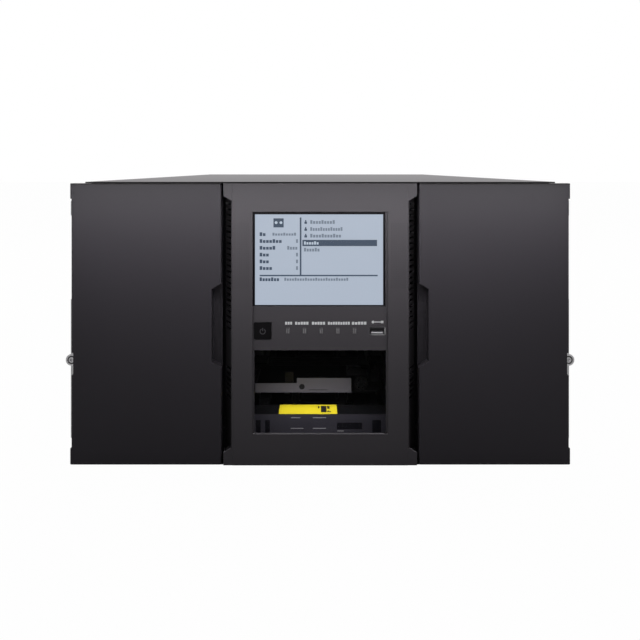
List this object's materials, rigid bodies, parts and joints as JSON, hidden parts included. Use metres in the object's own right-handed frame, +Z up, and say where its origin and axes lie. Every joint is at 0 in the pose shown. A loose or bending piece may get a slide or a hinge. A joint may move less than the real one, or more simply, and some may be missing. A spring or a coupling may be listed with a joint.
{
  "type": "data tape library",
  "caption": "Rack-mounted tape library: two swing doors over slide-out cartridge magazines, a centre panel with display and window, a lifting picker robot and rear drive sleds.",
  "frame": {"origin": "middle of the overall box in X and Y, on the underside of the bottom pan", "axes": "+X to the right seen from the front, +Y towards the back, +Z up"},
  "size_m": [0.4758, 0.863, 0.2624],
  "materials": {
    "chassis_steel": "satin",
    "cover_steel": "satin",
    "frame_black": "matt",
    "door_black": "satin",
    "fascia_grey": "satin",
    "display_black": "gloss",
    "lcd": "lit",
    "clear_glass": "clear",
    "window_clear": "clear",
    "button_black": "satin",
    "light_pipe": "translucent",
    "zinc": "bright",
    "board_green": "solder mask",
    "hinge_steel": "satin",
    "screw_steel": "bright",
    "magazine_grey": "matt",
    "handle_black": "satin",
    "robot_paint": "satin",
    "motor_black": "satin",
    "shaft_steel": "ground",
    "gear_white": "moulded",
    "label_yellow": "matt",
    "picker_grey": "satin",
    "reader_black": "satin",
    "claw_steel": "satin",
    "wheel_rubber": "matt",
    "bay_steel": "galvanised",
    "sled_steel": "satin",
    "psu_steel": "satin",
    "inlet_black": "moulded",
    "card_steel": "satin",
    "port_metal": "bright",
    "fan_black": "moulded",
    "small_screws": "bright"
  },
  "bodies": {
    "chassis": {"bottom_pan": "chassis_steel", "left_side_panel": "chassis_steel", "right_side_panel": "chassis_steel", "top_cover": "cover_steel", "rear_panel": "chassis_steel", "front_frame": "frame_black", "mid_bulkhead": "bay_steel", "magazine_guides": "gear_white", "fascia_bezel": "fascia_grey", "display_frame": "display_black", "lcd_panel": "lcd", "display_glass": "clear_glass", "window_pane": "window_clear", "led_light_pipes": "light_pipe", "usb_port": "port_metal", "front_control_board": "board_green", "rack_ears": "zinc", "rack_screws": "screw_steel", "lift_racks": "gear_white", "drive_bay": "bay_steel", "drive_sled_1": "sled_steel", "drive_sled_2": "sled_steel", "drive_sled_3": "sled_steel", "drive_sled_4": "sled_steel", "drive_sled_5": "sled_steel", "drive_sled_6": "sled_steel", "power_supplies": "psu_steel", "power_inlets": "inlet_black", "controller_card": "card_steel", "network_ports": "port_metal", "fan_frames": "fan_black", "panel_screws": "small_screws"},
    "power_button": {"power_button": "button_black"},
    "left_magazine": {"left_magazine_frame": "magazine_grey", "left_slot_walls": "magazine_grey", "left_magazine_handle": "handle_black", "left_hinge_brackets": "hinge_steel"},
    "right_magazine": {"right_magazine_frame": "magazine_grey", "right_slot_walls": "magazine_grey", "right_magazine_handle": "handle_black", "right_hinge_brackets": "hinge_steel"},
    "left_door": {"left_door": "door_black"},
    "right_door": {"right_door": "door_black"},
    "carriage": {"lift_carriage": "robot_paint", "lift_motors": "motor_black", "traverse_rods": "shaft_steel", "robot_label_plate": "label_yellow", "robot_board": "board_green"},
    "left_lift_shaft": {"left_lift_shaft": "shaft_steel"},
    "right_lift_shaft": {"right_lift_shaft": "shaft_steel"},
    "picker": {"picker_base": "picker_grey"},
    "traverse_pinion": {"traverse_pinion": "gear_white"},
    "turntable": {"picker_turntable": "picker_grey", "barcode_reader": "reader_black"},
    "gripper": {"gripper_block": "picker_grey"},
    "front_claw": {"front_claw": "claw_steel"},
    "rear_claw": {"rear_claw": "claw_steel"},
    "reach_wheel": {"reach_wheel": "wheel_rubber"},
    "left_fan_rotor": {"left_fan_rotor": "fan_black"},
    "right_fan_rotor": {"right_fan_rotor": "fan_black"}
  },
  "joints": [
    {"name": "power_button_press", "type": "slide", "parent": "chassis", "child": "power_button", "axis": [0, 1, 0], "range_m": [0, 0.0015], "stiffness_N_per_m": 800, "springref_m": -0.001},
    {"name": "left_magazine_slide", "type": "slide", "parent": "chassis", "child": "left_magazine", "axis": [0, -1, 0], "range_m": [0, 0.44]},
    {"name": "right_magazine_slide", "type": "slide", "parent": "chassis", "child": "right_magazine", "axis": [0, -1, 0], "range_m": [0, 0.44]},
    {"name": "left_door_swing", "type": "hinge", "parent": "left_magazine", "child": "left_door", "pos_m": [-0.2275, -0.4255, 0.13], "axis": [0, 0, -1], "range_deg": [0, 105]},
    {"name": "right_door_swing", "type": "hinge", "parent": "right_magazine", "child": "right_door", "pos_m": [0.2275, -0.4255, 0.13], "axis": [0, 0, 1], "range_deg": [0, 105]},
    {"name": "carriage_lift", "type": "slide", "parent": "chassis", "child": "carriage", "axis": [0, 0, 1], "range_m": [-0.0046, 0.1988]},
    {"name": "left_lift_shaft_turn", "type": "hinge", "parent": "carriage", "child": "left_lift_shaft", "pos_m": [-0.0735, 0, 0.02], "axis": [0, 1, 0], "range_deg": [-1300, 40]},
    {"name": "right_lift_shaft_turn", "type": "hinge", "parent": "carriage", "child": "right_lift_shaft", "pos_m": [0.0735, 0, 0.02], "axis": [0, 1, 0], "range_deg": [-40, 1300]},
    {"name": "picker_traverse", "type": "slide", "parent": "carriage", "child": "picker", "axis": [0, 1, 0], "range_m": [-0.072, 0.258]},
    {"name": "traverse_pinion_turn", "type": "hinge", "parent": "picker", "child": "traverse_pinion", "pos_m": [-0.045, -0.2363, 0.025], "axis": [0, 0, 1], "range_deg": [-470, 1650]},
    {"name": "turntable_turn", "type": "hinge", "parent": "picker", "child": "turntable", "pos_m": [0, -0.2603, 0.034], "axis": [0, 0, 1], "range_deg": [-180, 0]},
    {"name": "gripper_reach", "type": "slide", "parent": "turntable", "child": "gripper", "axis": [-1, 0, 0], "range_m": [0, 0.136]},
    {"name": "front_claw_open", "type": "hinge", "parent": "gripper", "child": "front_claw", "pos_m": [0.052, -0.2663, 0.042], "axis": [0, 0, 1], "range_deg": [0, 12]},
    {"name": "rear_claw_open", "type": "hinge", "parent": "gripper", "child": "rear_claw", "pos_m": [0.052, -0.2543, 0.042], "axis": [0, 0, 1], "range_deg": [-12, 0]},
    {"name": "reach_wheel_turn", "type": "hinge", "parent": "turntable", "child": "reach_wheel", "pos_m": [0.0455, -0.3107, 0.0419], "axis": [0, 1, 0], "range_deg": [-1150, 20]},
    {"name": "left_fan_spin", "type": "hinge", "parent": "chassis", "child": "left_fan_rotor", "pos_m": [-0.15225, 0.3947, 0.178], "axis": [0, 1, 0], "continuous": true},
    {"name": "right_fan_spin", "type": "hinge", "parent": "chassis", "child": "right_fan_rotor", "pos_m": [0.15225, 0.3947, 0.178], "axis": [0, 1, 0], "continuous": true}
  ],
  "couplings": [
    {"joint": "left_lift_shaft_turn", "follows": "carriage_lift", "rad_per_m": -111.11},
    {"joint": "right_lift_shaft_turn", "follows": "carriage_lift", "rad_per_m": 111.11},
    {"joint": "traverse_pinion_turn", "follows": "picker_traverse", "rad_per_m": 111.11},
    {"joint": "rear_claw_open", "follows": "front_claw_open", "ratio": -1},
    {"joint": "reach_wheel_turn", "follows": "gripper_reach", "rad_per_m": -142.86}
  ]
}
